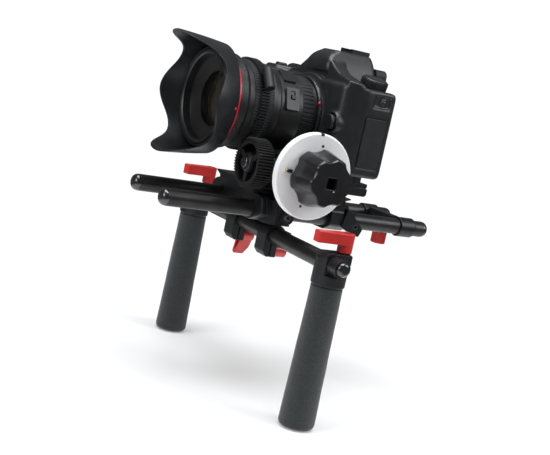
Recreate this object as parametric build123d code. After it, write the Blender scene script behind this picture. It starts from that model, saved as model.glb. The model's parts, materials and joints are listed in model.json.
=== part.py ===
from build123d import *
import math
import os

# Hand-held cinema camera rig: two 15 mm rods, a cross bar with two foam handles, a follow focus,
# and a camera with a wide zoom lens on a sliding quick-release clamp. Millimetres.
# Origin: midway between the two rod axes, on the front face of the front rod block.
# +X is the operator's left, -Y points at the subject (the lens looks that way), +Z is up.

# Rods
ROD_R = 7.5
ROD_BORE_R = 5.5
ROD_X = 30.0                 # half of the 60 mm rod spacing
ROD_FRONT, ROD_REAR = -82.0, 190.0
CAP_LENGTH = 5.8
CAP_ROUND = 5.0

# Front rod block and dovetail rail
BLOCK_HALF = 49.5
BLOCK_BOTTOM, BLOCK_TOP = -9.7, 14.0
RAIL_HALF, NECK_HALF = 40.0, 32.5
RAIL_FRONT, RAIL_REAR = -2.0, 96.0
RAIL_TOP = 21.0

# Cross bar and its two clamps under the rods
BAR_Y, BAR_Z = 27.0, -21.4
BAR_HALF = 146.0
CLAMP_HALF = 8.0             # half width of one bar clamp, along the bar
EAR_STUD_Z = -35.0
BAR_STUD_R = 2.5
LEVER_GAP = 0.4

# Handles
HANDLE_X, HANDLE_Y = 125.0, 30.3
SLEEVE_R = 8.2
RUN = 0.05                   # radial clearance of a running fit
GRIP_TOP, GRIP_BOTTOM = -39.8, -162.5
GRIP_R_TOP, GRIP_R_BOTTOM = 13.5, 15.7
COLLAR_R = 14.3
HANDLE_STUD_Y = 39.4
HANDLE_STUD_R = 2.2
HEAD_TOP = -12.2
RIGHT_LEVER_LIFT = 5.0       # the right lever is pulled up on its stud
RIGHT_HANDLE_OUT = 5.0       # the right handle is clamped this much further out

# Follow focus
MODULE = 0.8
GEAR_TEETH, BELT_TEETH = 52, 100
MESH_GAP = 0.1
FOCUS_Z = 40.3               # height of both follow-focus shafts
WHEEL_Y = 27.0
GEAR_FRONT, GEAR_REAR = -19.6, -4.6
SHAFT_R = 4.0
CONE = 9.0                   # big-end radius of the 1:1 bevel pair

# Lens, on the Y axis above the rods
LENS_Z = 85.7
LENS_R = 41.3
GEAR_DISTANCE = MODULE * (GEAR_TEETH + BELT_TEETH) / 2 + MESH_GAP
GEAR_X = math.sqrt(GEAR_DISTANCE ** 2 - (LENS_Z - FOCUS_Z) ** 2)
GEAR_ANGLE = math.degrees(math.atan2(FOCUS_Z - LENS_Z, GEAR_X))
BELT_ANGLE = 36.0            # where the belt's clamp barrel sits
FLANGE_Y = 48.3

# Camera
CAM_BOTTOM = 44.0
DECK = 121.5
CAM_BACK = 107.0
CAM_SIDE = 64.0

# Camera controls
HUMP_TOP = 148.8
RELEASE_X = 47.5               # lens release button
DOOR_Y0, DOOR_Y1 = 75.5, 98.0
DOOR_Z0, DOOR_Z1 = 53.0, 97.0
DIAL_R = 12.2
DIAL_PLACE = Pos(47.5, 86.5, DECK + 1.2) * Rot(0, 12, 0)
SHUTTER_AT = (-69.0, 59.0)
WHEEL_AT = (-68.0, 74.5, DECK - 1.0)
REAR_DIAL_AT = (-60.0, 78.0)

# Screws, hood, lens panels and the quick-release knob
TRIPOD_R = 3.175               # 1/4 inch accessory thread
SCREW_HEAD_R = 3.6
HOOD_REAR = -39.8
BELT_SEAT_R = 37.6
PANEL_ANGLE = 22.0
WINDOW_ANGLE = 62.0
KNOB_Y, KNOB_Z = 67.0, 25.5


def span(x0, x1, y0, y1, z0, z1):
    """A box given by its lowest and highest corners."""
    return Pos((x0 + x1) / 2, (y0 + y1) / 2, (z0 + z1) / 2) * Box(x1 - x0, y1 - y0, z1 - z0)


def along_x(sketch, x0, x1):
    """Extrude a sketch drawn in (Y, Z) from x0 to x1."""
    return extrude(Plane.YZ.offset(x0) * sketch, x1 - x0, dir=(1, 0, 0))


def along_y(sketch, y0, y1):
    """Extrude a sketch drawn in (X, Z) from y0 to y1."""
    return extrude(Plane.XZ.offset(-y0) * sketch, y1 - y0, dir=(0, 1, 0))


def along_z(sketch, z0, z1):
    """Extrude a sketch drawn in (X, Y) from z0 to z1."""
    return extrude(Plane.XY.offset(z0) * sketch, z1 - z0, dir=(0, 0, 1))


def shape(*points):
    """A closed outline through the points."""
    return Polygon(*points, align=None)


def rounded(points, radii):
    """A closed outline whose corners are rounded, one radius for each corner."""
    face = shape(*points)
    for point, radius in zip(points, radii):
        if radius:
            corner = face.vertices().sort_by_distance((point[0], point[1], 0))[0]
            face = fillet(corner, radius)
    return face


def lens_turned(*points):
    """A ring turned about the lens axis from a closed (radius, Y) outline."""
    axis = Axis((0, 0, LENS_Z), (0, 1, 0))
    return revolve(Plane.XY.offset(LENS_Z) * shape(*points), axis, 360)


def mirror_x(solid):
    return mirror(solid, Plane.YZ)


def gear_sketch(teeth, phase, spread=0.46):
    """Gear outline with straight-flanked teeth; one tooth points at the phase angle, in degrees."""
    pitch_r = MODULE * teeth / 2
    step = 2 * math.pi / teeth
    points = []
    for tooth in range(teeth):
        middle = math.radians(phase) + tooth * step
        for side, radius, share in ((-1, -1.25, 1.5), (-1, 1.0, 0.5), (1, 1.0, 0.5), (1, -1.25, 1.5)):
            angle = middle + side * step * spread / 2 * share
            r = pitch_r + radius * MODULE
            points.append((r * math.cos(angle), r * math.sin(angle)))
    return shape(*points)


# ---- rods and block ------------------------------------------------------------------------

def rod(x):
    """Rod tube; a fine groove marks how far the front clamp reaches."""
    tube = along_y(Pos(x, 0) * (Circle(ROD_R) - Circle(ROD_BORE_R)), ROD_FRONT, ROD_REAR)
    groove = along_y(Pos(x, 0) * (Circle(ROD_R + 1) - Circle(ROD_R - 0.3)), -1.4, -0.8)
    return tube - groove


def round_plug(radius, length, plug_r, plug_length, round_off=CAP_ROUND):
    """A domed end plug along +Z: its shoulder is at z = 0, its plug reaches below."""
    dome = Pos(0, 0, length / 2) * Cylinder(radius, length)
    dome = fillet(dome.edges().sort_by(Axis.Z)[-1], round_off)
    return dome + Pos(0, 0, -plug_length / 2) * Cylinder(plug_r, plug_length)


def rod_caps():
    front = Rot(90, 0, 0) * round_plug(ROD_R - 0.15, CAP_LENGTH, ROD_BORE_R, 9)
    rear = Rot(-90, 0, 0) * round_plug(ROD_R - 0.15, CAP_LENGTH, ROD_BORE_R, 9)
    caps = []
    for x in (-ROD_X, ROD_X):
        caps.append(Pos(x, ROD_FRONT, 0) * front)
        caps.append(Pos(x, ROD_REAR, 0) * rear)
    return caps


def block_outline(inset=0.0):
    low = ROD_X + 0.5
    half = BLOCK_HALF - inset
    top = BLOCK_TOP - inset
    points = [(-low, BLOCK_BOTTOM), (low, BLOCK_BOTTOM), (half, -2), (half, top), (-half, top), (-half, -2)]
    return rounded(points, (2, 2, 3, 13 - inset, 13 - inset, 3))


def front_block():
    """Casting that holds both rods, with a rear spine and the hanger for the bar clamps."""
    fascia = along_y(block_outline(), 0, 3.2)
    front_edges = fascia.faces().sort_by(Axis.Y)[0].edges()
    fascia = fillet(front_edges, 0.8)
    block = fascia + along_y(block_outline(1.5), 3.2, 4.6) + along_y(block_outline(), 4.6, 9)
    spine = span(-16, 16, 9, 46, -8.5, BLOCK_TOP)
    hanger_y = BAR_Y + 8.3
    web = span(-8, 8, hanger_y, 46, -28, -8.5)
    cross = span(-30 + CLAMP_HALF, 30 - CLAMP_HALF, hanger_y, 42, -29, -17)
    block = block + spine + web + cross
    for x in (-ROD_X, ROD_X):
        block -= along_y(Pos(x, 0) * Circle(ROD_R), -1, 60)
    return block


def slide_rail():
    """Dovetail rail on the block: wide top, slanted sides, narrow neck."""
    half = [(NECK_HALF, BLOCK_TOP), (NECK_HALF, 17), (RAIL_HALF, 20), (RAIL_HALF, RAIL_TOP)]
    outline = shape(*half, *[(-x, z) for x, z in reversed(half)])
    rail = along_y(outline, RAIL_FRONT, RAIL_REAR)
    for x in (-14, 14):
        rail -= span(x - 3, x + 3, 12, 84, RAIL_TOP - 1.2, RAIL_TOP + 1)
    return rail


def rear_rod_clamp():
    """Clamp on both rods under the rail's rear end, with a slanted screw ear at each end."""
    half = 41.5
    points = [(-31, -10.5), (31, -10.5), (half, -5), (half, 8), (35, BLOCK_TOP), (-35, BLOCK_TOP),
              (-half, 8), (-half, -5)]
    clamp = along_y(rounded(points, (3, 3, 3, 3, 2, 2, 3, 3)), 78, 98)
    ear_outline = rounded([(90, -5.5), (105, -11.5), (110.5, -12.5), (113.5, -5), (99, 8.5), (93, 12)],
                          (1, 1.5, 2, 2, 1.5, 1))
    ear = along_x(ear_outline, 38.2, 43.5)
    clamp = clamp + ear + mirror_x(ear)
    for x in (-ROD_X, ROD_X):
        clamp -= along_y(Pos(x, 0) * Circle(ROD_R), 70, 120)
    socket = Pos(0, 88, -10.5 + 5) * Cylinder(TRIPOD_R, 10)
    for side in (-1, 1):
        screw_hole = along_x(Pos(105.5, -3.5) * Circle(SCREW_HEAD_R), 41.0, 44.0)
        clamp -= screw_hole if side > 0 else mirror_x(screw_hole)
    return clamp - socket


def socket_screw(x0, y, z):
    """Socket-head screw along X, head outwards at x0."""
    head = along_x(Pos(y, z) * Circle(SCREW_HEAD_R - 0.1), x0 - 2.2, x0)
    head = chamfer(head.faces().sort_by(Axis.X)[-1].edges(), 0.4)
    return head - along_x(Pos(y, z) * RegularPolygon(1.7, 6), x0 - 1.8, x0 + 1)


def clamp_screws():
    rear = socket_screw(43.2, 105.5, -3.5)
    return [rear, mirror_x(rear), socket_screw(49.2, WHEEL_Y + 1, -2)]


# ---- cross bar and its clamps --------------------------------------------------------------

def bar_clamp(side):
    """Ring round the cross bar with two ears below, split between the ears."""
    x0, x1 = side * ROD_X - CLAMP_HALF, side * ROD_X + CLAMP_HALF
    ring = Pos(BAR_Y, BAR_Z) * Circle(10.2)
    ears = rounded([(16.8, BAR_Z), (16.8, -36), (20.5, -40.3), (30.2, -40.3), (30.2, -28.3), (35.3, -28.3),
                    (35.3, BAR_Z)], (0, 1, 1, 0.6, 0.6, 0, 0))
    foot = shape((30, -28.3), (42, -28.3), (42, -17), (33, -17), (30, -20))
    clamp = along_x(ring + ears + foot, x0, x1)
    clamp -= along_x(Pos(BAR_Y, BAR_Z) * Circle(ROD_R + RUN), x0 - 1, x1 + 1)
    clamp -= span(x0 - 1, x1 + 1, 23.4, 24.6, -42, -26)
    clamp -= span(x0 - 1, x1 + 1, 30.2, 50, -42, -28.3)
    return clamp - along_y(Pos(side * ROD_X, EAR_STUD_Z) * Circle(BAR_STUD_R), 17.5, 32)


def cross_bar():
    tube = Circle(ROD_R) - Circle(ROD_BORE_R)
    return along_x(Pos(BAR_Y, BAR_Z) * tube, -BAR_HALF, BAR_HALF)


def bar_plugs():
    plug = Rot(0, 90, 0) * round_plug(6.2, 4.0, ROD_BORE_R, 9, 3.4)
    left = Pos(BAR_HALF, BAR_Y, BAR_Z) * plug
    return [left, mirror_x(left)]


def bar_lever(side, turn):
    """Tapered lever behind a bar clamp; at turn 0 it hangs straight down. Turns about Y."""
    y0, y1 = 30.2 + LEVER_GAP, 42.6
    arm = rounded([(-5.2, 2), (-2.4, -21), (2.4, -21), (5.2, 2)], (0, 1.5, 1.5, 0))
    lever = along_y(Circle(6.1) + arm, y0, y1)
    chamfer_cut = shape((y1 + 1, -10), (y1 + 1, -25), (y1 - 5, -25))
    lever -= along_x(chamfer_cut, -8, 8)
    pocket = rounded([(-3, -6), (3, -6), (0.4, -17.5), (-0.4, -17.5)], (0.8, 0.8, 0, 0))
    lever -= along_y(pocket, y0 - 1, y0 + 5)
    lever -= along_y(Circle(BAR_STUD_R + RUN), y0 - 1, y1 + 1)
    return Pos(side * ROD_X, 0, EAR_STUD_Z) * Rot(0, turn, 0) * lever


def bar_stud(side):
    stud = along_y(Circle(BAR_STUD_R), 17.5, 43.4)
    return Pos(side * ROD_X, 0, EAR_STUD_Z) * stud


# ---- handles -------------------------------------------------------------------------------

def handle_sleeve():
    ring = Circle(SLEEVE_R) - Circle(ROD_R + RUN)
    return along_x(Pos(BAR_Y, BAR_Z) * ring, HANDLE_X - 9.0, HANDLE_X + 9.0)


def handle_head():
    """Clamp head round the bar: sloping front, rear ear under the lever, split behind the bar."""
    half, ear_half = 8.5, 6.8
    side = [(10, -32.6), (48, -32.6), (48, HEAD_TOP), (21, HEAD_TOP), (16.6, -17.0), (10, -17.0)]
    slab = along_z(Pos(HANDLE_X, HANDLE_Y) * Circle(COLLAR_R), -32.6, HEAD_TOP)
    slab = slab & along_x(shape(*side), HANDLE_X - half, HANDLE_X + half)
    ear_outline = rounded([(30, -32.6), (38, -32.6), (44.4, -26.5), (44.4, HEAD_TOP), (30, HEAD_TOP)],
                          (0, 1.5, 1.5, 1.5, 0))
    head = slab + along_x(ear_outline, HANDLE_X - ear_half, HANDLE_X + ear_half)
    head += along_z(Pos(HANDLE_X, HANDLE_Y) * Circle(COLLAR_R), -32.6, -30.4)
    bar = Pos(BAR_Y, BAR_Z)
    head -= along_x(bar * Circle(SLEEVE_R + RUN), HANDLE_X - 30, HANDLE_X + 30)
    head -= span(HANDLE_X - 20, HANDLE_X + 20, BAR_Y + 6, 50, BAR_Z - 0.8, BAR_Z + 0.8)
    return head - along_z(Pos(HANDLE_X, HANDLE_STUD_Y) * Circle(HANDLE_STUD_R), -29, HEAD_TOP + 1)


def handle_core():
    """Turned collar and the tube that the foam grip is pushed on."""
    collar = along_z(Pos(HANDLE_X, HANDLE_Y) * Circle(COLLAR_R), GRIP_TOP, -32.6)
    collar = chamfer(collar.edges().sort_by(Axis.Z)[0], 0.9)
    tube = along_z(Pos(HANDLE_X, HANDLE_Y) * Circle(9.0), -154, GRIP_TOP)
    bore = along_z(Pos(HANDLE_X, HANDLE_Y) * Circle(7.0), -155, -45)
    return collar + tube - bore


def foam_grip():
    profile = rounded([(0, GRIP_BOTTOM), (GRIP_R_BOTTOM, GRIP_BOTTOM), (GRIP_R_TOP, GRIP_TOP), (0, GRIP_TOP)],
                      (0, 4.5, 1.2, 0))
    solid = revolve(Plane.XZ * profile, Axis.Z, 360)
    bore = along_z(Circle(9.0), -154, 0)
    return Pos(HANDLE_X, HANDLE_Y, 0) * (solid - bore)


def handle_lever(lift, turn):
    """L-shaped clamping lever: a round hub on the ear and an arm that reaches forwards."""
    low, under, top = HEAD_TOP + LEVER_GAP, -4.5, 5.0
    hub = along_z(Circle(6.3), low, top)
    hub = chamfer(hub.edges().sort_by(Axis.Z)[0], 0.8)
    arm_outline = rounded([(-6.2, 0), (6.2, 0), (4.4, -30), (-4.4, -30)], (0, 0, 1.5, 1.5))
    arm = along_z(arm_outline, under, top)
    lever = hub + arm
    lever = fillet(lever.faces().sort_by(Axis.Z)[-1].edges(), 0.9)
    lever -= along_z(Circle(4.0), top - 3.3, top + 1)
    lever -= along_z(Circle(HANDLE_STUD_R + RUN), low - 1, top + 1)
    return Pos(HANDLE_X, HANDLE_STUD_Y, lift) * Rot(0, 0, turn) * lever


def handle_stud(lift):
    """Clamp stud with the screw head that shows in the lever's hub."""
    shank = along_z(Circle(HANDLE_STUD_R), -28.5, 2.0 + lift)
    head = along_z(Circle(3.6), 2.0 + lift, 4.4 + lift)
    stud = shank + head - along_z(RegularPolygon(1.7, 6), 3 + lift, 6 + lift)
    if lift:
        stud += along_z(Circle(4.2), HEAD_TOP, HEAD_TOP + lift)
    return Pos(HANDLE_X, HANDLE_STUD_Y, 0) * stud


# ---- rear bridge ---------------------------------------------------------------------------

def rear_bridge():
    """Sliding bridge: a collar on each rod, joined by a stepped plate."""
    bridge = span(-24, 24, 163, 177, -6, 5.5) + span(-18, 18, 161.5, 171, 3, 8)
    bridge = chamfer(bridge.edges().filter_by(Axis.X).group_by(Axis.Z)[-1], 0.8)
    for x in (-ROD_X, ROD_X):
        collar = along_y(Pos(x, 0) * Circle(9.3), 161, 178.5)
        collar = chamfer(collar.faces().sort_by(Axis.Y)[0].edges(), 0.6)
        bridge += fillet(collar.faces().sort_by(Axis.Y)[-1].edges(), 1.5)
    for x in (-ROD_X, ROD_X):
        bridge -= along_y(Pos(x, 0) * Circle(ROD_R + RUN), 150, 190)
    bridge -= along_z(Pos(0, 167) * Circle(3 + RUN), -7, 1)
    return bridge


def bridge_knob():
    knob = along_z(Pos(0, 167) * Circle(7.2), -23.4, -12.4)
    knob = fillet(knob.faces().sort_by(Axis.Z)[0].edges(), 1.0)
    for step in range(12):
        angle = math.radians(30 * step)
        groove = Pos(7.4 * math.cos(angle), 167 + 7.4 * math.sin(angle))
        knob -= along_z(groove * Circle(0.6), -24, -13.5)
    return knob + along_z(Pos(0, 167) * Circle(3), -12.4, 0.5)


# ---- follow focus --------------------------------------------------------------------------

def focus_clamp():
    """Rod clamp of the follow focus, with its outer arm up to the gearbox."""
    plan = rounded([(18.5, 11), (40, 11), (45.5, 18), (45.5, 34), (18.5, 34)], (1, 1, 1, 2, 1))
    clamp = along_z(plan, -10.2, 11)
    arm = span(41.5, 47, 18, 34, -2, 26)
    boss = along_x(Pos(WHEEL_Y + 1, -2) * Circle(6.2), 45.5, 49)
    clamp = clamp + arm + boss
    clamp -= along_y(Pos(ROD_X, 0) * Circle(ROD_R), 0, 50)
    clamp -= span(10, 27, 0, 50, -1.2, 0.8)
    return clamp - along_x(Pos(WHEEL_Y + 1, -2) * Circle(SCREW_HEAD_R), 47.0, 50)


def gearbox():
    """Gearbox housing, open to +X, where its cover closes it."""
    box = span(GEAR_X - 12.2, 61, 6, 39.5, 26, 52.8)
    box = fillet(box.edges().filter_by(Axis.X), 4)
    box -= span(GEAR_X - 9.4, 62, 9.5, 36.4, 30, 50.2)
    box += along_y(Pos(GEAR_X, FOCUS_Z) * Circle(8), 1, 7)
    return box - along_y(Pos(GEAR_X, FOCUS_Z) * Circle(SHAFT_R + RUN), 0, 12)


def gearbox_cover():
    cover = span(61, 65, 6, 39.5, 26, 52.8)
    cover = fillet(cover.edges().filter_by(Axis.X), 4)
    cover += along_x(Pos(WHEEL_Y, FOCUS_Z) * Circle(12), 65, 68)
    return cover - along_x(Pos(WHEEL_Y, FOCUS_Z) * Circle(SHAFT_R + RUN), 50, 80)


def bevel(radius_cut=0.15):
    """Bevel wheel on +Z whose pitch cone has its tip at the origin."""
    big = CONE - radius_cut
    small = CONE / 2 - radius_cut
    profile = shape((0, CONE / 2), (small, CONE / 2), (big, CONE), (big, CONE + 1.5), (0, CONE + 1.5))
    return revolve(Plane.XZ * profile, Axis.Z, 360)


def drive_shaft():
    """Shaft of the drive gear with its bevel wheel inside the gearbox."""
    centre = Pos(GEAR_X, FOCUS_Z)
    shaft = along_y(centre * Circle(SHAFT_R), GEAR_FRONT, WHEEL_Y - CONE)
    cap = along_y(centre * Circle(5.0), GEAR_FRONT - 2.8, GEAR_FRONT - 1)
    cap = chamfer(cap.faces().sort_by(Axis.Y)[0].edges(), 0.5)
    cap -= along_y(centre * RegularPolygon(2.2, 6), GEAR_FRONT - 4, GEAR_FRONT - 1.8)
    neck = along_y(centre * Circle(3.0), GEAR_FRONT - 1, GEAR_FRONT)
    wheel = Pos(GEAR_X, WHEEL_Y, FOCUS_Z) * Rot(90, 0, 0) * bevel()
    return shaft + neck + cap + wheel


def drive_gear():
    """Drive gear with three spokes, one of them straight down."""
    centre = Pos(GEAR_X, FOCUS_Z)
    toothed = gear_sketch(GEAR_TEETH, GEAR_ANGLE + 180)
    rim = along_y(centre * (toothed - Circle(17.4)), GEAR_FRONT, GEAR_REAR)
    web = Circle(18.0) - (Circle(16.4) - Circle(8.6))
    for turn in (-90, 30, 150):
        web += Rot(0, 0, turn) * Pos(12, 0) * Rectangle(10, 4.6)
    wheel = rim + along_y(centre * web, GEAR_FRONT + 1, GEAR_FRONT + 6)
    wheel += along_y(centre * Circle(18.0), GEAR_REAR - 1.6, GEAR_REAR)
    hub = along_y(centre * Circle(7.6), GEAR_FRONT - 1, GEAR_REAR)
    wheel += chamfer(hub.faces().sort_by(Axis.Y)[0].edges(), 0.8)
    bore = along_y(centre * Circle(SHAFT_R), GEAR_FRONT, 0)
    return wheel - bore - along_y(centre * Circle(3.0), GEAR_FRONT - 9, GEAR_FRONT + 1)


def wheel_shaft():
    """Handwheel shaft with its bevel wheel inside the gearbox."""
    shaft = along_x(Pos(WHEEL_Y, FOCUS_Z) * Circle(SHAFT_R), GEAR_X + CONE, 84)
    return shaft + Pos(GEAR_X, WHEEL_Y, FOCUS_Z) * Rot(0, 90, 0) * bevel()


def marking_disc():
    """Flat white marking ring with a bevelled rim."""
    disc = along_x(Pos(WHEEL_Y, FOCUS_Z) * Circle(37.5), 71.5, 76.5)
    disc = chamfer(disc.faces().sort_by(Axis.X)[-1].edges(), 1.4)
    return disc - along_x(Pos(WHEEL_Y, FOCUS_Z) * Circle(20.5), 70, 80)


def hand_knob():
    """Six-lobed handwheel knob with a square crank socket in its face."""
    centre = Pos(WHEEL_Y, FOCUS_Z)
    lobed = Circle(25.0)
    for lobe in range(6):
        lobed -= Rot(0, 0, 60 * lobe + 43) * Pos(38.5, 0) * Circle(16.5)
    lobed = fillet(lobed.vertices(), 4.0)
    sections = []
    for x, size in ((79.5, 1.0), (81, 1.0), (103.6, 0.83), (105, 0.79)):
        sections.append(Plane.YZ.offset(x) * centre * scale(lobed, size))
    knob = loft(sections, ruled=True)
    knob += along_x(centre * Circle(20.3), 69, 80)
    knob -= along_x(centre * Rectangle(9.6, 9.6), 92, 106)
    return knob - along_x(centre * Circle(SHAFT_R), 60, 84)


# ---- lens ----------------------------------------------------------------------------------


def hood_section(grow, y, wide, high):
    plane = Plane(origin=(0, y, LENS_Z), x_dir=(1, 0, 0), z_dir=(0, -1, 0))
    return plane * Ellipse(wide + grow, high + grow)


def lens_hood():
    """Petal hood: it flares forwards, widest across, and its front edge dips between the petals."""
    sections = ((-42.5, 48.0, 48.0), (-60.0, 56.0, 50.0), (-88.0, 61.5, 52.0))
    outer = loft([hood_section(0, *s) for s in sections])
    inner = loft([hood_section(-1.8, *s) for s in sections])
    cone = outer - inner
    collar = lens_turned((LENS_R + 0.1, HOOD_REAR), (43.4, HOOD_REAR), (48.0, -42.5), (46.2, -42.5),
                         (44.0, -46.0), (42.6, -52.0), (LENS_R + 0.1, -52.0))
    front = [(62, -87), (52, -85.5), (45, -74.5), (41, -66), (36, -60.3), (28, -58.4), (17, -61.8), (0, -66.5)]
    edge = [(y, LENS_Z + z) for z, y in front] + [(y, LENS_Z - z) for z, y in reversed(front[:-1])]
    curve = Spline(*edge)
    far = -120
    ahead = make_face(curve + Polyline(edge[-1], (far, edge[-1][1]), (far, edge[0][1]), edge[0]))
    return cone - along_x(ahead, -80, 80) + collar


def lens_front():
    """Front barrel with its filter rim and the recessed name-ring plate, left blank."""
    return lens_turned((24.0, -41.0), (36.0, -45.0), (37.0, -51.6), (38.2, -52.6), (40.3, -52.6),
                       (LENS_R, -51.6), (LENS_R, -30.5), (38.6, -26.8), (38.6, -22.2), (26.0, -22.2),
                       (26.0, -33.0), (24.9, -33.0), (24.9, -40.2), (24.0, -40.2))


def lens_glass():
    rim = 24.8
    profile = make_face(ThreePointArc((0, -40.0), (14, -39.0), (rim, -36.2))
                        + Polyline((rim, -36.2), (rim, -33.2), (0, -33.2), (0, -40.0)))
    return revolve(Plane.XY.offset(LENS_Z) * profile, Axis((0, 0, LENS_Z), (0, 1, 0)), 360)


def focus_ring():
    """Rubber-covered focus ring with a seat for the gear belt."""
    ring = lens_turned((35.0, -21.7), (38.5, -21.7), (38.5, -16.6), (BELT_SEAT_R, -16.6),
                       (BELT_SEAT_R, -8.4), (38.5, -8.4), (38.5, -3.5), (35.0, -3.5))
    grooves = []
    for step in range(90):
        angle = math.radians(4 * step)
        place = Pos(38.7 * math.cos(angle), LENS_Z + 38.7 * math.sin(angle))
        grooves.append(along_y(place * Circle(0.5), -21.2, -4.0))
    return ring - grooves


def gear_belt():
    """Toothed focus belt; a gap between two teeth faces the drive gear."""
    half_step = 180 / BELT_TEETH
    toothed = gear_sketch(BELT_TEETH, GEAR_ANGLE + half_step)
    return along_y(Pos(0, LENS_Z) * (toothed - Circle(BELT_SEAT_R)), -16.5, -8.5)


def belt_clamp():
    """Barrel screw that closes the belt, lying along the rim."""
    angle = math.radians(BELT_ANGLE)
    reach = MODULE * BELT_TEETH / 2 + 5.1
    centre = (reach * math.cos(angle), -12.5, LENS_Z + reach * math.sin(angle))
    barrel = Cylinder(4.2, 19.5)
    barrel = chamfer(barrel.edges().group_by(Axis.Z)[-1] + barrel.edges().group_by(Axis.Z)[0], 0.5)
    barrel -= Pos(0, 0, 9.75) * Cylinder(2.0, 4)
    return Pos(*centre) * Rot(0, -BELT_ANGLE, 0) * barrel


def lens_barrel():
    """Fixed barrel with the raised switch panel and the distance-scale window frame."""
    barrel = lens_turned((34.5, -22.2), (34.5, -3.0), (38.0, -3.0), (38.0, 0.5), (37.0, 1.2), (36.2, 5.0),
                         (35.4, 6.6), (35.4, 28.2), (31.0, 28.2), (31.0, 42.8), (32.2, 43.2), (32.6, FLANGE_Y),
                         (25.5, FLANGE_Y), (25.5, -22.2))
    panel = Pos(35.4, 16.8, 0) * Box(3.0, 13.0, 20.0)
    panel = fillet(panel.edges().filter_by(Axis.X), 1.5)
    panel -= Pos(36.9, 16.8, 3.0) * Box(1.6, 4.6, 7.6)
    frame = Pos(35.0, 16.8, 0) * Box(3.0, 12.0, 17.0)
    frame = fillet(frame.edges().filter_by(Axis.X), 1.5)
    barrel += Pos(0, 0, LENS_Z) * Rot(0, -PANEL_ANGLE, 0) * panel
    return barrel + Pos(0, 0, LENS_Z) * Rot(0, -WINDOW_ANGLE, 0) * frame


def focus_switch():
    """Small two-position slide switch on the lens panel."""
    button = Pos(37.15, 16.8, 1.6) * Box(1.5, 3.8, 3.8)
    button = fillet(button.faces().sort_by(Axis.X)[-1].edges(), 0.5)
    return Pos(0, 0, LENS_Z) * Rot(0, -PANEL_ANGLE, 0) * button


def zoom_ring():
    ring = lens_turned((31.4, 28.6), (33.2, 28.6), (33.8, 29.2), (33.8, 41.8), (33.2, 42.4), (31.4, 42.4))
    grooves = []
    for step in range(54):
        angle = math.radians(360 / 54 * step)
        place = Pos(34.1 * math.cos(angle), LENS_Z + 34.1 * math.sin(angle))
        grooves.append(along_y(place * Circle(0.8), 29.8, 41.2))
    return ring - grooves


# ---- camera --------------------------------------------------------------------------------

def camera_clamp():
    """Quick-release clamp that slides on the dovetail rail."""
    side = 39.0
    base = shape((40, 21.3), (89, 21.3), (92, 24.5), (110, 24.5), (112, 26.5), (112, 31.6), (40, 31.6))
    clamp = along_x(base, -side, side)
    clamp += span(-side + 1.0, side - 1.0, 41, 111, 31.6, 32.4)
    clamp += span(-side, side, 40, 98, 32.4, 36) + span(-side + 1.5, side - 1.5, 98, 112, 32.4, 36)
    jaw = shape((side, 21.3), (RAIL_HALF + 0.4, 21.3), (RAIL_HALF + 0.4, 19.8), (NECK_HALF + 0.8, 16.7),
                (NECK_HALF + 0.8, 14.8), (46, 14.8), (46, 27), (43, 31.6), (side, 31.6))
    jaw = along_y(jaw, 50, 84)
    clamp = clamp + jaw + mirror_x(jaw)
    clamp -= along_x(Pos(KNOB_Y, KNOB_Z) * Circle(3 + RUN), -50, -30)
    return clamp - along_z(Pos(0, 75) * Circle(8.4), 30, 37)


def clamp_knob():
    """Tightening knob on the camera clamp's right side."""
    knob = along_x(Pos(KNOB_Y, KNOB_Z) * Circle(9.0), -61, -46.4)
    knob = fillet(knob.faces().sort_by(Axis.X)[0].edges(), 1.2)
    for step in range(10):
        angle = math.radians(36 * step)
        place = Pos(KNOB_Y + 9.6 * math.cos(angle), KNOB_Z + 9.6 * math.sin(angle))
        knob -= along_x(place * Circle(1.8), -60, -46)
    return knob + along_x(Pos(KNOB_Y, KNOB_Z) * Circle(3), -46.4, -34)


def camera_plate():
    plate = span(-37, 37, 50, 106, 36, CAM_BOTTOM)
    plate = fillet(plate.edges().filter_by(Axis.Z), 4)
    plate -= along_z(Pos(0, 75) * Circle(8.4), 35, 38.9)
    return plate - along_z(Pos(0, 75) * Circle(3.3), 35, CAM_BOTTOM + 1)


def camera_screw():
    """The 1/4 inch camera screw: its head is in the plate, its shank in the camera's base."""
    head = along_z(Pos(0, 75) * Circle(8.0), 36.2, 38.9)
    screw = head + along_z(Pos(0, 75) * Circle(TRIPOD_R), 38.9, CAM_BOTTOM + 5.5)
    return screw - span(-7, 7, 74.2, 75.8, 35, 37.2)


def deck_loft():
    """Prism hump: a rounded, tapering tower whose brow overhangs the lens mount."""
    tower = []
    brow = []
    levels = ((116, 37, 55, 106.5, 8), (127, 25, 58.0, 107.5, 8), (136, 20.5, 58.0, 107.5, 7),
              (143, 16.5, 59.5, 106.5, 6), (HUMP_TOP, 13, 65, 103.5, 5))
    for z, half, y0, y1, r in levels:
        rectangle = RectangleRounded(2 * half, y1 - y0, r)
        tower.append(Plane.XY.offset(z) * Pos(0, (y0 + y1) / 2) * rectangle)
    for z, half, y0, y1, r in ((128.4, 19.0, 54, 90, 4), (142.5, 16.5, 57.0, 90, 4), (147.2, 13.0, 63, 90, 4)):
        rectangle = RectangleRounded(2 * half, y1 - y0, r)
        brow.append(Plane.XY.offset(z) * Pos(0, (y0 + y1) / 2) * rectangle)
    return loft(tower) + loft(brow)


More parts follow.
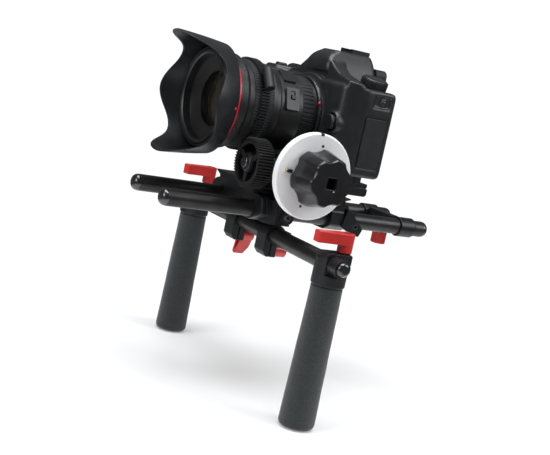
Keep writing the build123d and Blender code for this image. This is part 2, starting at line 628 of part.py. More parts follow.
def camera_body():
    """Camera body shell with grip, decks, lens boss and prism hump."""
    plan = rounded([(CAM_SIDE, 72), (54, 54), (37, 50), (-38, 50), (-47, 55), (-52, 40), (-60, 33.5),
                    (-78, 34.5), (-87, 45), (-88, 90), (-80, CAM_BACK), (58, CAM_BACK), (CAM_SIDE, 101)],
                   (12, 9, 4, 3, 3, 6, 6, 6, 8, 10, 8, 5, 5))
    body = along_z(plan, CAM_BOTTOM, DECK)
    body = fillet(body.faces().sort_by(Axis.Z)[0].edges(), 3)
    body = fillet(body.faces().sort_by(Axis.Z)[-1].edges(), 3)
    side_view = rounded([(30, CAM_BOTTOM), (CAM_BACK, CAM_BOTTOM), (CAM_BACK, DECK), (30, DECK)], (1, 9, 9, 1))
    body &= along_x(side_view, -90, 70)
    ridge = rounded([(-46, 112), (-46, 125), (-34, 127.5), (-25, 134), (-17, 140), (17, 140), (26, 134.5),
                     (36, 129.5), (48, 127), (60, 124), (62.5, 118), (62.5, 112)], (1, 3, 5, 6, 3, 3, 6, 6, 6, 3, 2, 1))
    ridge = along_y(ridge, 56, 71) & along_z(plan, 100, 150)
    grip_deck = rounded([(-44, 60), (-58, 46), (-78, 47), (-84, 56), (-84, 90), (-78, 100), (-30, 100),
                         (-30, 60)], (4, 5, 5, 5, 8, 5, 3, 3))
    deck = along_z(grip_deck, DECK - 4, DECK + 3.8)
    deck = fillet(deck.faces().sort_by(Axis.Z)[-1].edges(), 2.5)
    boss = along_y(Pos(0, LENS_Z) * Circle(39.5), FLANGE_Y + 1.5, 58)
    boss = fillet(boss.faces().sort_by(Axis.Y)[0].edges(), 1.5)
    mount = along_y(Pos(0, LENS_Z) * Circle(34.6), FLANGE_Y, 52)
    release_pad = along_y(Pos(RELEASE_X, LENS_Z + 1) * Circle(9.5), 50.5, 60)
    body = body + ridge + deck + deck_loft() + boss + mount + release_pad
    body -= span(CAM_SIDE - 1.6, CAM_SIDE + 5, DOOR_Y0 - 0.3, DOOR_Y1 + 0.3, DOOR_Z0 - 0.3, DOOR_Z1 + 0.3)
    body -= along_y(Pos(0, LENS_Z) * Circle(27), FLANGE_Y - 1, 66)
    body -= along_y(Pos(RELEASE_X, LENS_Z + 1) * Circle(7.2), 44, 55.5)
    body -= DIAL_PLACE * along_z(Circle(DIAL_R + 0.4), -1.0, 30)
    body -= along_z(Pos(*SHUTTER_AT) * Circle(6.0), DECK + 0.6, 140)
    body -= Pos(*WHEEL_AT) * Rot(0, 90, 0) * Cylinder(9.4, 9)
    body -= along_y(Pos(*REAR_DIAL_AT) * Circle(17.4), CAM_BACK - 2.2, CAM_BACK + 5)
    body -= span(CAM_SIDE - 2.0, CAM_SIDE + 5, 80.5, 99, 106.5, 117)
    body += span(CAM_SIDE - 3.0, CAM_SIDE + 0.6, 88, 93, 109.5, 114)
    body -= along_z(Pos(0, 75) * Circle(3.3), CAM_BOTTOM - 1, CAM_BOTTOM + 7)
    return body - span(-9, 9, 104, 120, 122.5, 134.5)


def mode_dial():
    """Knurled mode dial on the left deck."""
    sketch = Circle(DIAL_R)
    for step in range(40):
        angle = math.radians(9 * step)
        sketch -= Pos((DIAL_R + 0.1) * math.cos(angle), (DIAL_R + 0.1) * math.sin(angle)) * Circle(0.5)
    dial = along_z(sketch, -0.6, 7.4)
    cap = along_z(Circle(DIAL_R - 1.2), 7.4, 8.6)
    return DIAL_PLACE * (dial + chamfer(cap.faces().sort_by(Axis.Z)[-1].edges(), 0.6))


def main_dial():
    """Ribbed control wheel sunk in the grip deck."""
    sketch = Circle(8.9)
    for step in range(32):
        angle = math.radians(11.25 * step)
        sketch -= Pos(9.0 * math.cos(angle), 9.0 * math.sin(angle)) * Circle(0.45)
    wheel = along_z(sketch, -4, 4)
    return Pos(*WHEEL_AT) * Rot(0, 90, 0) * wheel


def rear_dial():
    ring = along_y(Pos(*REAR_DIAL_AT) * (Circle(17.0) - Circle(8.0)), CAM_BACK - 1.8, CAM_BACK + 2.0)
    ring = fillet(ring.faces().sort_by(Axis.Y)[-1].edges(), 0.8)
    grooves = []
    for step in range(36):
        angle = math.radians(10 * step)
        place = Pos(REAR_DIAL_AT[0] + 17.2 * math.cos(angle), REAR_DIAL_AT[1] + 17.2 * math.sin(angle))
        grooves.append(along_y(place * Circle(0.5), CAM_BACK, CAM_BACK + 3))
    return ring - grooves


def shutter_button():
    button = along_z(Pos(*SHUTTER_AT) * Circle(5.6), DECK + 2.2, DECK + 6.2)
    return fillet(button.faces().sort_by(Axis.Z)[-1].edges(), 1.6)


def lens_release():
    button = along_y(Pos(RELEASE_X, LENS_Z + 1) * Circle(6.9), 47.6, 53.0)
    return fillet(button.faces().sort_by(Axis.Y)[0].edges(), 1.2)


def port_cover():
    """Rubber cover over the sockets on the camera's left side, hinged at its rear edge."""
    cover = span(CAM_SIDE - 1.2, CAM_SIDE + 0.9, DOOR_Y0, DOOR_Y1, DOOR_Z0, DOOR_Z1)
    cover = fillet(cover.edges().filter_by(Axis.X), 1.5)
    return fillet(cover.faces().sort_by(Axis.X)[-1].edges(), 0.6)


def eyecup():
    """Rubber eyecup round the viewfinder window."""
    cup = span(-20, 20, CAM_BACK + 0.6, 120, 117, 139.5)
    cup = fillet(cup.edges().filter_by(Axis.Y), 6)
    cup = fillet(cup.faces().sort_by(Axis.Y)[-1].edges(), 1.5)
    return cup - span(-11, 11, CAM_BACK - 1, 125, 122, 135)


def rear_screen():
    screen = span(-36, 34, CAM_BACK, CAM_BACK + 2.2, 57, 104)
    screen = fillet(screen.edges().filter_by(Axis.Y), 2.5)
    return chamfer(screen.faces().sort_by(Axis.Y)[-1].edges(), 0.6)


def hot_shoe():
    """Accessory shoe: a floor plate with two inward rails."""
    front, rear = 83, 102
    shoe = span(-10, 10, front, rear, HUMP_TOP, HUMP_TOP + 1)
    for side in (-1, 1):
        outer, post, lip = side * 10, side * 8.6, side * 6.2
        shoe += span(min(post, outer), max(post, outer), front, rear, HUMP_TOP + 1, HUMP_TOP + 3.8)
        shoe += span(min(lip, outer), max(lip, outer), front, rear, HUMP_TOP + 2.8, HUMP_TOP + 3.8)
    return shoe


def right(solid):
    """The mirrored copy for the handle on the operator's right."""
    return Pos(-RIGHT_HANDLE_OUT, 0, 0) * mirror_x(solid)


def both(name, solid):
    return {name + "_left": solid, name + "_right": right(solid)}


def parts():
    nodes = {
        "rod_left": rod(ROD_X), "rod_right": rod(-ROD_X), "rod_caps": rod_caps(),
        "front_block": front_block(), "slide_rail": slide_rail(), "rear_rod_clamp": rear_rod_clamp(),
        "clamp_screws": clamp_screws(), "bar_clamp_left": bar_clamp(1), "bar_clamp_right": bar_clamp(-1),
        "cross_bar": cross_bar(), "bar_plugs": bar_plugs(),
        "bar_lever_left": bar_lever(1, 90), "bar_lever_right": bar_lever(-1, 18),
        "bar_stud_left": bar_stud(1), "bar_stud_right": bar_stud(-1),
        "handle_lever_left": handle_lever(0, 0), "handle_stud_left": handle_stud(0),
        "handle_lever_right": right(handle_lever(RIGHT_LEVER_LIFT, -8)),
        "handle_stud_right": right(handle_stud(RIGHT_LEVER_LIFT)),
        "rear_bridge": rear_bridge(), "bridge_knob": bridge_knob(),
        "focus_clamp": focus_clamp(), "gearbox": gearbox(), "gearbox_cover": gearbox_cover(),
        "drive_shaft": drive_shaft(), "drive_gear": drive_gear(), "wheel_shaft": wheel_shaft(),
        "marking_disc": marking_disc(), "hand_knob": hand_knob(),
        "lens_hood": lens_hood(), "lens_front": lens_front(), "lens_glass": lens_glass(),
        "focus_ring": focus_ring(), "gear_belt": gear_belt(), "belt_clamp": belt_clamp(),
        "lens_barrel": lens_barrel(), "focus_switch": focus_switch(), "zoom_ring": zoom_ring(),
        "camera_clamp": camera_clamp(), "clamp_knob": clamp_knob(), "camera_plate": camera_plate(),
        "camera_screw": camera_screw(), "camera_body": camera_body(), "mode_dial": mode_dial(),
        "main_dial": main_dial(), "rear_dial": rear_dial(), "shutter_button": shutter_button(),
        "lens_release": lens_release(), "port_cover": port_cover(), "eyecup": eyecup(),
        "rear_screen": rear_screen(), "hot_shoe": hot_shoe(),
    }
    nodes.update(both("handle_sleeve", handle_sleeve()))
    nodes.update(both("handle_head", handle_head()))
    nodes.update(both("handle_core", handle_core()))
    nodes.update(both("foam_grip", foam_grip()))
    return nodes


os.makedirs("parts", exist_ok=True)
for node, solid in parts().items():
    if isinstance(solid, list):
        solid = Compound(children=[s if isinstance(s, Solid) else s.solids()[0] for s in solid])
    export_step(solid, f"parts/{node}.step")
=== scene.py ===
import json
import math

import bmesh
import bpy
from mathutils import Matrix, Vector, noise


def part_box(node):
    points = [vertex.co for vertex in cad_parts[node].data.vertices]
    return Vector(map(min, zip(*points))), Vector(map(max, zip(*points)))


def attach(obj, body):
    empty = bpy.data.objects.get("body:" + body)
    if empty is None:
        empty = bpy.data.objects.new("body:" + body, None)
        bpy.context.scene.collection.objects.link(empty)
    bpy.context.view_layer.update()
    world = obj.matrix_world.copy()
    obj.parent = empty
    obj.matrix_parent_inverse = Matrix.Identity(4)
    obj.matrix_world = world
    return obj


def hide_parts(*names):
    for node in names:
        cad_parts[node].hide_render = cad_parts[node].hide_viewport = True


# Looks for the hand-held camera rig. Everything is in metres, in the row frame:
# -Y is where the lens looks, +X the operator's left, +Z up.

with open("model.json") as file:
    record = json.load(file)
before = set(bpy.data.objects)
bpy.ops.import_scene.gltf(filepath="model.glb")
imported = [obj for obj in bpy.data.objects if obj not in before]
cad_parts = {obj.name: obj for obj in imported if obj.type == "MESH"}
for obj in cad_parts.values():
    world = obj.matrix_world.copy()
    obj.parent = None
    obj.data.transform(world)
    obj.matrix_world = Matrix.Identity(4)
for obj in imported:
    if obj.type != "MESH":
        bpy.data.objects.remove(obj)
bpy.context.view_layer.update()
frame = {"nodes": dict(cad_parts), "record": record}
NODES = frame["nodes"]
MM = 0.001
SHELL_VOXEL, SHELL_ROUNDS = 0.9, 14          # camera shell: remesh size in mm, smoothing rounds
SHUTTER_TRAVEL, RELEASE_TRAVEL = 0.0012, 0.0018
GRIP_TOP_R, GRIP_BOTTOM_R = 13.5 * MM, 15.7 * MM
ROOM_LIGHT, BACKDROP_LIGHT = 0.14, 1.05      # world strength for the object and for the camera
FLOOR_HALF, FLOOR_DROP = 2.0, 0.0004
FADE_START, FADE_END = 0.25, 0.80            # where the floor gives way to the backdrop

# ---- places worked out from the frame ------------------------------------------------------


def corners(node):
    low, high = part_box(node)
    return Vector(low), Vector(high)


def middle(node):
    low, high = corners(node)
    return (low + high) / 2


LENS = middle("zoom_ring")                   # a point on the lens axis
FOCUS = middle("marking_disc")               # a point on the handwheel axis
FLOOR_Z = corners("foam_grip_left")[0].z

# ---- camera, floor and light ---------------------------------------------------------------

CAMERA_AZIMUTH, CAMERA_ELEVATION, CAMERA_ROLL = 57.882, 8.867, 12.249
CAMERA_DISTANCE = 0.95635
CAMERA_LENS = 70.01                          # mm, on a 36 mm wide sensor
CAMERA_TARGET = (0.03615, -0.0245)           # offset to the right and up, across the view


def make_camera():
    azimuth, elevation, roll = (math.radians(a) for a in (CAMERA_AZIMUTH, CAMERA_ELEVATION, CAMERA_ROLL))
    back = Vector((math.sin(azimuth) * math.cos(elevation), -math.cos(azimuth) * math.cos(elevation),
                   math.sin(elevation)))
    level = Vector((math.cos(azimuth), math.sin(azimuth), 0))
    above = back.cross(level)
    right = math.cos(roll) * level + math.sin(roll) * above
    up = math.cos(roll) * above - math.sin(roll) * level
    place = back * CAMERA_DISTANCE + CAMERA_TARGET[0] * right + CAMERA_TARGET[1] * up
    data = bpy.data.cameras.new("camera")
    data.lens = CAMERA_LENS
    data.sensor_width = 36
    data.clip_start = 0.01
    camera = bpy.data.objects.new("camera", data)
    bpy.context.scene.collection.objects.link(camera)
    turn = Matrix((right, up, back)).transposed().to_4x4()
    camera.matrix_world = Matrix.Translation(place) @ turn
    bpy.context.scene.camera = camera


def area_light(name, place, target, size, power, colour=(1, 1, 1)):
    data = bpy.data.lights.new(name, "AREA")
    data.shape = "RECTANGLE"
    data.size, data.size_y = size
    data.energy = power
    data.color = colour
    light = bpy.data.objects.new(name, data)
    bpy.context.scene.collection.objects.link(light)
    light.location = place
    aim = Vector(target) - Vector(place)
    light.rotation_euler = aim.to_track_quat("-Z", "Y").to_euler()
    light.visible_camera = False


def make_world():
    """White behind the object, but a dimmer room in its reflections, so that black reads as black."""
    world = bpy.data.worlds.new("studio")
    bpy.context.scene.world = world
    world.use_nodes = True
    tree = world.node_tree
    background = tree.nodes["Background"]
    background.inputs["Color"].default_value = (1.0, 1.0, 1.0, 1)
    path = tree.nodes.new("ShaderNodeLightPath")
    level = tree.nodes.new("ShaderNodeMapRange")
    level.inputs["To Min"].default_value = ROOM_LIGHT
    level.inputs["To Max"].default_value = BACKDROP_LIGHT
    tree.links.new(path.outputs["Is Camera Ray"], level.inputs["Value"])
    tree.links.new(level.outputs["Result"], background.inputs["Strength"])


def make_floor():
    """A white sweep that fades into the backdrop away from the object."""
    mesh = bpy.data.meshes.new("studio_floor")
    shape = bmesh.new()
    height = FLOOR_Z - FLOOR_DROP
    shape.faces.new([shape.verts.new((x * FLOOR_HALF, y * FLOOR_HALF, height))
                     for x, y in ((-1, -1), (1, -1), (1, 1), (-1, 1))])
    shape.to_mesh(mesh)
    shape.free()
    floor = bpy.data.objects.new("studio_floor", mesh)
    bpy.context.scene.collection.objects.link(floor)
    paint = bpy.data.materials.new("studio_white")
    paint.use_nodes = True
    tree = paint.node_tree
    shader = tree.nodes["Principled BSDF"]
    shader.inputs["Base Color"].default_value = (0.93, 0.93, 0.93, 1)
    shader.inputs["Emission Color"].default_value = (1, 1, 1, 1)
    shader.inputs["Emission Strength"].default_value = 0.22
    shader.inputs["Roughness"].default_value = 0.25
    place = tree.nodes.new("ShaderNodeTexCoord")
    distance = tree.nodes.new("ShaderNodeVectorMath")
    distance.operation = "LENGTH"
    fade = tree.nodes.new("ShaderNodeMapRange")
    fade.interpolation_type = "SMOOTHSTEP"
    fade.inputs["From Min"].default_value = FADE_START
    fade.inputs["From Max"].default_value = FADE_END
    clear = tree.nodes.new("ShaderNodeBsdfTransparent")
    mix = tree.nodes.new("ShaderNodeMixShader")
    tree.links.new(place.outputs["Object"], distance.inputs[0])
    tree.links.new(distance.outputs["Value"], fade.inputs["Value"])
    tree.links.new(fade.outputs["Result"], mix.inputs["Fac"])
    tree.links.new(shader.outputs["BSDF"], mix.inputs[1])
    tree.links.new(clear.outputs["BSDF"], mix.inputs[2])
    tree.links.new(mix.outputs["Shader"], tree.nodes["Material Output"].inputs["Surface"])
    mesh.materials.append(paint)


def make_studio():
    bpy.context.scene.view_settings.view_transform = "Standard"
    make_world()
    area_light("top_softbox", (0.10, -0.10, 1.20), (0, 0.02, 0), (1.1, 0.8), 21, (0.97, 0.985, 1.0))
    area_light("left_softbox", (0.35, -1.35, 0.60), (0, 0, 0.05), (0.7, 0.8), 9)
    area_light("rear_softbox", (0.85, 0.95, 0.80), (0, 0, 0.05), (0.6, 0.8), 9, (0.96, 0.98, 1.0))
    make_floor()


# ---- materials -----------------------------------------------------------------------------


class Surface:
    """Builds one node material step by step."""

    def __init__(self, name):
        self.material = bpy.data.materials.new(name)
        self.material.use_nodes = True
        self.tree = self.material.node_tree
        self.shader = self.tree.nodes["Principled BSDF"]
        self.place = self.node("ShaderNodeTexCoord").outputs["Object"]
        self.normal = None

    def node(self, kind, **settings):
        made = self.tree.nodes.new(kind)
        for key, value in settings.items():
            setattr(made, key, value)
        return made

    def link(self, source, target):
        self.tree.links.new(source, target)

    def set(self, **values):
        for key, value in values.items():
            self.shader.inputs[key.replace("_", " ")].default_value = value
        return self

    def noise(self, scale, detail=3.0, rough=0.55, stretch=None):
        made = self.node("ShaderNodeTexNoise")
        made.inputs["Scale"].default_value = scale
        made.inputs["Detail"].default_value = detail
        made.inputs["Roughness"].default_value = rough
        source = self.place
        if stretch:
            mapping = self.node("ShaderNodeMapping")
            mapping.inputs["Scale"].default_value = stretch
            self.link(source, mapping.inputs["Vector"])
            source = mapping.outputs["Vector"]
        self.link(source, made.inputs["Vector"])
        return made.outputs["Fac"]

    def cells(self, scale):
        made = self.node("ShaderNodeTexVoronoi")
        made.inputs["Scale"].default_value = scale
        self.link(self.place, made.inputs["Vector"])
        return made.outputs["Distance"]

    def ramp(self, factor, stops):
        made = self.node("ShaderNodeValToRGB")
        elements = made.color_ramp.elements
        while len(elements) < len(stops):
            elements.new(0.5)
        for element, (at, colour) in zip(elements, stops):
            element.position = at
            element.color = (*colour, 1)
        self.link(factor, made.inputs["Fac"])
        return made.outputs["Color"]

    def colour(self, dark, light, scale=35.0):
        self.link(self.ramp(self.noise(scale), ((0.3, dark), (0.7, light))), self.shader.inputs["Base Color"])
        return self

    def roughness(self, low, high, scale=60.0):
        span = self.node("ShaderNodeMapRange")
        span.inputs["To Min"].default_value = low
        span.inputs["To Max"].default_value = high
        self.link(self.noise(scale, 5.0), span.inputs["Value"])
        self.link(span.outputs["Result"], self.shader.inputs["Roughness"])
        return self

    def soft_edges(self, radius=0.0004):
        made = self.node("ShaderNodeBevel", samples=4)
        made.inputs["Radius"].default_value = radius
        self.normal = made.outputs["Normal"]
        self.link(self.normal, self.shader.inputs["Normal"])
        return self

    def bump(self, height, strength, distance=0.0002):
        made = self.node("ShaderNodeBump")
        made.inputs["Strength"].default_value = strength
        made.inputs["Distance"].default_value = distance
        self.link(height, made.inputs["Height"])
        if self.normal is not None:
            self.link(self.normal, made.inputs["Normal"])
        self.normal = made.outputs["Normal"]
        self.link(self.normal, self.shader.inputs["Normal"])
        return self


def anodised():
    s = Surface("black_anodised").set(Metallic=0.25, Specular_IOR_Level=0.55)
    s.colour((0.005, 0.0055, 0.0065), (0.011, 0.012, 0.014), 90).roughness(0.32, 0.44, 140).soft_edges(0.0005)
    return s.bump(s.noise(2600, 2), 0.10, 0.00005).material


def rod_tube():
    s = Surface("charcoal_rod").set(Metallic=0.55, Specular_IOR_Level=0.55)
    s.colour((0.020, 0.0195, 0.020), (0.034, 0.033, 0.034), 60).roughness(0.30, 0.40, 200).soft_edges(0.0003)
    return s.bump(s.noise(1800, 2, stretch=(1, 0.08, 1)), 0.12, 0.00004).material


def gloss_black():
    s = Surface("gloss_cap").set(Specular_IOR_Level=0.6, Coat_Weight=0.6, Coat_Roughness=0.12)
    return s.colour((0.006, 0.006, 0.007), (0.012, 0.012, 0.014), 50).roughness(0.16, 0.26, 90).material


def red_paint(name, dark, light):
    s = Surface(name).set(Specular_IOR_Level=0.5, Coat_Weight=0.25, Coat_Roughness=0.2)
    s.colour(dark, light, 55).roughness(0.28, 0.38, 150).soft_edges(0.0006)
    return s.bump(s.noise(1500, 2), 0.08, 0.00005).material


def black_plastic(name, dark, light, low, high, grain=1600, strength=0.16, edge=0.0004):
    s = Surface(name).set(Specular_IOR_Level=0.5)
    s.colour(dark, light, 70).roughness(low, high, 160).soft_edges(edge)
    return s.bump(s.noise(grain, 3), strength, 0.00008).material


def white_paint():
    s = Surface("marking_white").set(Specular_IOR_Level=0.45)
    s.colour((0.90, 0.90, 0.92), (0.95, 0.95, 0.96), 14).roughness(0.30, 0.42, 90).soft_edges(0.0005)
    return s.bump(s.noise(900, 2), 0.05, 0.00005).material


def rubber():
    s = Surface("ring_rubber").set(Specular_IOR_Level=0.4)
    s.colour((0.006, 0.0065, 0.007), (0.013, 0.014, 0.015), 120).roughness(0.5, 0.64, 200).soft_edges(0.0003)
    return s.bump(s.noise(2200, 3), 0.2, 0.00008).material


def foam():
    """Closed-cell foam: a fine, shallow pore pattern in the bump, with the pore pits painted darker than the cell
    walls as painted shade.
    """
    s = Surface("foam").set(Specular_IOR_Level=0.28, Sheen_Weight=0.25, Sheen_Roughness=0.6)
    # painted shade: the colour darkens towards each cell centre, where the bump below sinks into a pore
    s.link(s.ramp(s.cells(900), ((0.0, (0.004, 0.005, 0.006)), (0.45, (0.014, 0.018, 0.0195)),
                                 (1.0, (0.027, 0.032, 0.034)))), s.shader.inputs["Base Color"])
    s.roughness(0.72, 0.86, 240)
    s.bump(s.cells(900), 0.55, 0.0003)
    return s.bump(s.noise(420, 4), 0.35, 0.0003).material


def camera_shell():
    s = Surface("camera_shell").set(Specular_IOR_Level=0.5)
    s.colour((0.007, 0.0075, 0.0085), (0.014, 0.015, 0.017), 60).roughness(0.34, 0.46, 120).soft_edges(0.0006)
    return s.bump(s.noise(3200, 2), 0.22, 0.00008).material


def steel():
    s = Surface("black_steel").set(Metallic=1.0)
    s.colour((0.10, 0.10, 0.11), (0.17, 0.17, 0.18), 200).roughness(0.24, 0.36, 300)
    return s.soft_edges(0.0002).material


def bright_metal(name, dark, light):
    s = Surface(name).set(Metallic=1.0)
    return s.colour(dark, light, 200).roughness(0.18, 0.3, 300).soft_edges(0.0002).material


def coated_glass():
    s = Surface("coated_glass").set(IOR=1.5, Transmission_Weight=0.95, Specular_IOR_Level=0.35)
    facing = s.node("ShaderNodeLayerWeight")
    facing.inputs["Blend"].default_value = 0.35
    tint = s.ramp(facing.outputs["Facing"], ((0.0, (0.34, 0.25, 0.15)), (0.55, (0.22, 0.20, 0.15)),
                                            (1.0, (0.12, 0.09, 0.16))))
    s.link(tint, s.shader.inputs["Base Color"])
    return s.roughness(0.0, 0.03, 40).material


def inner_element(name, dark, light):
    s = Surface(name).set(Specular_IOR_Level=0.5, Coat_Weight=0.3, Coat_Roughness=0.05)
    return s.colour(dark, light, 30).roughness(0.05, 0.12, 60).material


def screen_glass():
    s = Surface("screen_glass").set(Specular_IOR_Level=0.6, Coat_Weight=0.8, Coat_Roughness=0.05)
    return s.colour((0.004, 0.004, 0.006), (0.010, 0.010, 0.013), 25).roughness(0.06, 0.14, 50).material


def make_palette():
    """One material for each slot, then the few that only added pieces use."""
    grey = (0.007, 0.007, 0.008), (0.013, 0.013, 0.015)
    moulded = (0.005, 0.005, 0.0055), (0.010, 0.010, 0.011)
    gloss = (0.008, 0.008, 0.009), (0.014, 0.014, 0.016)
    hood = (0.004, 0.0045, 0.0055), (0.009, 0.010, 0.012)
    paint = (0.005, 0.005, 0.0055), (0.012, 0.012, 0.013)
    return {
        "anodised": anodised(),
        "rod_tube": rod_tube(),
        "end_cap": gloss_black(),
        "red_lever": red_paint("red_lever_paint", (0.50, 0.020, 0.018), (0.60, 0.028, 0.024)),
        "gear_plastic": black_plastic("gear_plastic", *moulded, 0.38, 0.52),
        "knob_plastic": black_plastic("knob_plastic", *gloss, 0.20, 0.30, 1200, 0.10, 0.0012),
        "hood_plastic": black_plastic("hood_plastic", *hood, 0.30, 0.42),
        "lens_paint": black_plastic("lens_paint", *paint, 0.30, 0.44, 2600, 0.3),
        "marking_white": white_paint(),
        "ring_rubber": rubber(),
        "glass": coated_glass(),
        "camera_shell": camera_shell(),
        "dial_metal": black_plastic("dial_metal", *grey, 0.34, 0.46),
        "screen": screen_glass(),
        "foam": foam(),
        "screw": steel(),
        "red_ring": red_paint("red_ring_paint", (0.58, 0.004, 0.022), (0.66, 0.006, 0.032)),
        "bright": bright_metal("bright_metal", (0.22, 0.22, 0.23), (0.32, 0.32, 0.33)),
        "brass": bright_metal("brass", (0.42, 0.30, 0.12), (0.52, 0.38, 0.16)),
    }


# ---- mesh helpers --------------------------------------------------------------------------


def piece(name, shape, slot, body, smooth=35.0, material=None):
    """Turn a bmesh into a named piece that rides on a body."""
    mesh = bpy.data.meshes.new(name)
    bmesh.ops.recalc_face_normals(shape, faces=shape.faces)
    shape.to_mesh(mesh)
    shape.free()
    mesh.shade_smooth()
    mesh.set_sharp_from_angle(angle=math.radians(smooth))
    made = bpy.data.objects.new(name, mesh)
    bpy.context.scene.collection.objects.link(made)
    mesh.materials.append(PALETTE[material or slot])
    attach(made, body)
    return made


def lathe(outline, centre, steps=96):
    """Turn a closed (radius, y) outline, in mm, about a line along Y through centre."""
    shape = bmesh.new()
    axis, side = Vector((0, 1, 0)), Vector((1, 0, 0))
    other = axis.cross(side)
    rings = []
    for step in range(steps):
        angle = math.radians(360.0 * step / steps)
        out = side * math.cos(angle) + other * math.sin(angle)
        rings.append([shape.verts.new(Vector(centre) + (out * r + axis * a) * MM) for r, a in outline])
    for step in range(steps):
        near, far = rings[step], rings[(step + 1) % steps]
        for k in range(len(outline)):
            n = (k + 1) % len(outline)
            shape.faces.new((near[k], near[n], far[n], far[k]))
    return shape


def add_modifier(made, kind, **settings):
    modifier = made.modifiers.new(kind.lower(), kind)
    for key, value in settings.items():
        setattr(modifier, key, value)
    return modifier


def block(low, high, round_off=0.0005, segments=3):
    """A box with rounded edges, from its corners in mm."""
    shape = bmesh.new()
    bmesh.ops.create_cube(shape, size=1.0)
    low, high = Vector(low) * MM, Vector(high) * MM
    size, centre = high - low, (high + low) / 2
    for vert in shape.verts:
        vert.co = Vector((vert.co.x * size.x, vert.co.y * size.y, vert.co.z * size.z)) + centre
    bmesh.ops.bevel(shape, geom=list(shape.edges), offset=round_off, segments=segments, affect="EDGES", profile=0.5)
    return shape


def ball(centre, radius, squash=(1, 1, 1)):
    shape = bmesh.new()
    bmesh.ops.create_icosphere(shape, subdivisions=4, radius=radius * MM)
    for vert in shape.verts:
        vert.co = Vector((vert.co.x * squash[0], vert.co.y * squash[1], vert.co.z * squash[2])) + Vector(centre) * MM
    return shape


# ---- carried-over CAD nodes ----------------------------------------------------------------


def finish_nodes():
    """Give each CAD node its slot's material and smooth shading that keeps real edges sharp."""
    slots = {entry["node"]: entry.get("material_slot", entry["node"]) for entry in frame["record"]["subparts"]}
    for name, node in NODES.items():
        node.data.materials.clear()
        node.data.materials.append(PALETTE[slots[name]])
        node.data.shade_smooth()
        node.data.set_sharp_from_angle(angle=math.radians(32))


def clear_button(mesh, button, outward, travel, gap=0.0011):
    """Push the shell's points out of the space that a round button sweeps as it is pressed."""
    low, high = corners(button)
    centre, half = (low + high) / 2, (high - low) / 2
    axis = Vector(outward)
    depth = abs(half.dot(axis))
    radius = max(half) + gap
    floor = -depth - travel - gap
    for vertex in mesh.vertices:
        offset = vertex.co - centre
        along = offset.dot(axis)
        out = offset - axis * along
        if floor < along < depth + 0.003 and 1e-6 < out.length < radius:
            if radius - out.length < along - floor:
                vertex.co = centre + axis * along + out.normalized() * radius
            else:
                vertex.co = centre + axis * floor + out


def softened(node, body, voxel, rounds, factor=0.5):
    """A smooth copy of a CAD node: remeshed, then relaxed so its edges flow into each other."""
    source = NODES[node]
    made = bpy.data.objects.new(node + "_shell", source.data.copy())
    bpy.context.scene.collection.objects.link(made)
    add_modifier(made, "REMESH", mode="VOXEL", voxel_size=voxel * MM, use_smooth_shade=True)
    add_modifier(made, "SMOOTH", factor=factor, iterations=rounds)
    depsgraph = bpy.context.evaluated_depsgraph_get()
    mesh = bpy.data.meshes.new_from_object(made.evaluated_get(depsgraph))
    made.modifiers.clear()
    made.data = mesh
    clear_button(mesh, "shutter_button", (0, 0, 1), SHUTTER_TRAVEL)
    clear_button(mesh, "lens_release", (0, -1, 0), RELEASE_TRAVEL)
    mesh.shade_smooth()
    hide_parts(node)
    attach(made, body)
    return made


# ---- soft grips ----------------------------------------------------------------------------


def foam_grip(node, body):
    """Foam sleeve: rolled ends, a slight taper widening towards the bottom, and small uneven dents."""
    low, high = corners(node)
    centre = (low + high) / 2
    height = high.z - low.z
    rings, around = 150, 120
    shape = bmesh.new()
    grid = []
    for row in range(rings + 1):
        t = row / rings
        z = high.z - t * height
        radius = GRIP_TOP_R + (GRIP_BOTTOM_R - GRIP_TOP_R) * t
        near_top, near_bottom = (high.z - z) / (1.6 * MM), (z - low.z) / (4.6 * MM)
        if near_top < 1:
            radius -= 1.5 * MM * (1 - math.sqrt(1 - (1 - near_top) ** 2))
        if near_bottom < 1:
            radius -= 4.4 * MM * (1 - math.sqrt(max(0.0, 1 - (1 - near_bottom) ** 2)))
        line = []
        for step in range(around):
            angle = 2 * math.pi * step / around
            out = Vector((math.cos(angle), math.sin(angle), 0))
            spot = Vector((centre.x, centre.y, z)) + out * radius
            dent = noise.noise(spot * 60) * 0.16 + noise.noise(spot * 240) * 0.05
            spot -= out * (0.12 + dent) * MM
            line.append(shape.verts.new(spot))
        grid.append(line)
    for row in range(rings):
        for step in range(around):
            nxt = (step + 1) % around
            shape.faces.new((grid[row][step], grid[row][nxt], grid[row + 1][nxt], grid[row + 1][step]))
    shape.faces.new(grid[0])
    shape.faces.new(list(reversed(grid[-1])))
    made = piece(node.replace("foam_grip", "grip_sleeve"), shape, "foam", body, 60)
    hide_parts(node)


# ---- lens details --------------------------------------------------------------------------


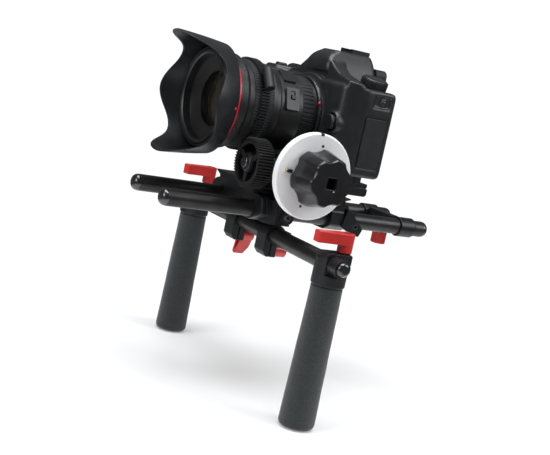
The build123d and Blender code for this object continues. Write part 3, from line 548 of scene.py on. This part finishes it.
def lens_details():
    centre = (LENS.x, 0, LENS.z)
    band = [(41.2, -39.5), (41.8, -39.3), (42.0, -38.5), (41.8, -37.7), (41.2, -37.5)]
    piece("red_band", lathe(band, centre, 160), "red_lever", "camera", material="red_ring")
    for number, (radius, y) in enumerate(((41.35, -34.6), (41.35, -32.2))):
        line = [(radius - 0.4, y - 0.35), (radius, y - 0.2), (radius, y + 0.2), (radius - 0.4, y + 0.35)]
        piece(f"barrel_line_{number}", lathe(line, centre, 160), "gear_plastic", "camera")
    lip = [(36.2, -45.4), (36.7, -45.9), (37.0, -45.6), (36.6, -45.0)]
    piece("name_plate_lip", lathe(lip, centre, 128), "dial_metal", "camera")
    tunnel = [(24.6, -33.0), (25.3, -33.0), (19.0, -14.0), (12.0, 2.0), (11.3, 2.0), (18.3, -14.2)]
    piece("inner_tunnel", lathe(tunnel, centre, 96), "lens_paint", "camera")
    for number, (radius, y, bulge, name) in enumerate(((18.6, -19.0, 4.0, "amber"), (11.6, -4.0, 2.0, "green"))):
        disc = [(0.01, y - bulge)]
        for step in range(1, 7):
            r = radius * step / 6
            disc.append((r, y - bulge * (1 - (step / 6) ** 2)))
        disc += [(radius, y + 1.2), (0.01, y + 1.2)]
        colours = {"amber": ((0.004, 0.003, 0.002), (0.010, 0.006, 0.003)),
                   "green": ((0.060, 0.040, 0.010), (0.110, 0.075, 0.022))}[name]
        PALETTE["element_" + name] = inner_element("element_" + name, *colours)
        piece("element_" + name, lathe(disc, centre, 96), "glass", "camera", material="element_" + name)
    mount = [(32.8, 45.2), (34.6, 45.4), (35.0, 46.0), (35.0, 48.2), (32.8, 48.2)]
    piece("mount_flange", lathe(mount, centre, 128), "dial_metal", "camera")
    shine = [(34.9, 46.3), (35.25, 46.4), (35.25, 46.9), (34.9, 47.0)]
    piece("mount_bright_edge", lathe(shine, centre, 128), "screw", "camera", material="bright")


def on_lens(angle, radius, y):
    """A point beside the lens axis, in mm: angle up from +X."""
    a = math.radians(angle)
    return (radius * math.cos(a), y, LENS.z / MM + radius * math.sin(a))


def red_dots():
    piece("mount_dot", ball(on_lens(24, 34.9, 45.4), 1.5, (1, 0.6, 1)), "red_lever", "camera", material="red_ring")
    piece("hood_dot", ball(on_lens(-3, 49.0, -45.0), 1.3, (0.6, 1, 1)), "red_lever", "camera", material="red_ring")
    piece("hood_latch", ball(on_lens(214, 44.0, -47.0), 2.6, (0.5, 1.2, 0.8)), "hood_plastic", "camera")


# ---- follow focus details ------------------------------------------------------------------


def on_wheel(angle, radius, x):
    """A point near the handwheel axis, in mm: angle up from +Y."""
    a = math.radians(angle)
    return (x, FOCUS.y / MM + radius * math.cos(a), FOCUS.z / MM + radius * math.sin(a))


def wheel_details():
    face = corners("marking_disc")[1].x / MM
    for number, angle in enumerate((85, 255)):
        dot = ball(on_wheel(angle, 27.0, face), 1.25, (0.35, 1, 1))
        piece(f"disc_dot_{number}", dot, "gear_plastic", "handwheel")
    tip = on_wheel(175, 26.5, face + 0.8)
    pin = block((tip[0] - 1.0, tip[1] - 1.6, tip[2] - 1.5), (tip[0] + 1.4, tip[1] + 3.4, tip[2] + 1.5), 0.0006)
    piece("disc_pointer", pin, "gear_plastic", "handwheel")
    point = ball((tip[0] + 0.3, tip[1] - 2.2, tip[2]), 1.25)
    piece("disc_pointer_tip", point, "screw", "handwheel", material="brass")
    rim = on_wheel(90, 37.2, face - 1.6)
    notch = block((rim[0] - 3.0, rim[1] - 1.6, rim[2] - 1.8), (rim[0] + 2.0, rim[1] + 1.6, rim[2] + 0.3), 0.0004)
    piece("disc_index", notch, "gear_plastic", "handwheel")
    knob_face = corners("hand_knob")[1].x / MM
    dot = (knob_face - 0.1, FOCUS.y / MM + 3.4, FOCUS.z / MM - 6.4)
    piece("socket_dot", ball(dot, 0.55, (0.4, 1, 1)), "marking_white", "handwheel")


make_camera()
make_studio()
PALETTE = make_palette()
finish_nodes()
for side in ("left", "right"):
    foam_grip("foam_grip_" + side, "handle_" + side)
shell = softened("camera_body", "camera", SHELL_VOXEL, SHELL_ROUNDS)
shell.data.materials.clear()
shell.data.materials.append(PALETTE["camera_shell"])
lens_details()
red_dots()
wheel_details()
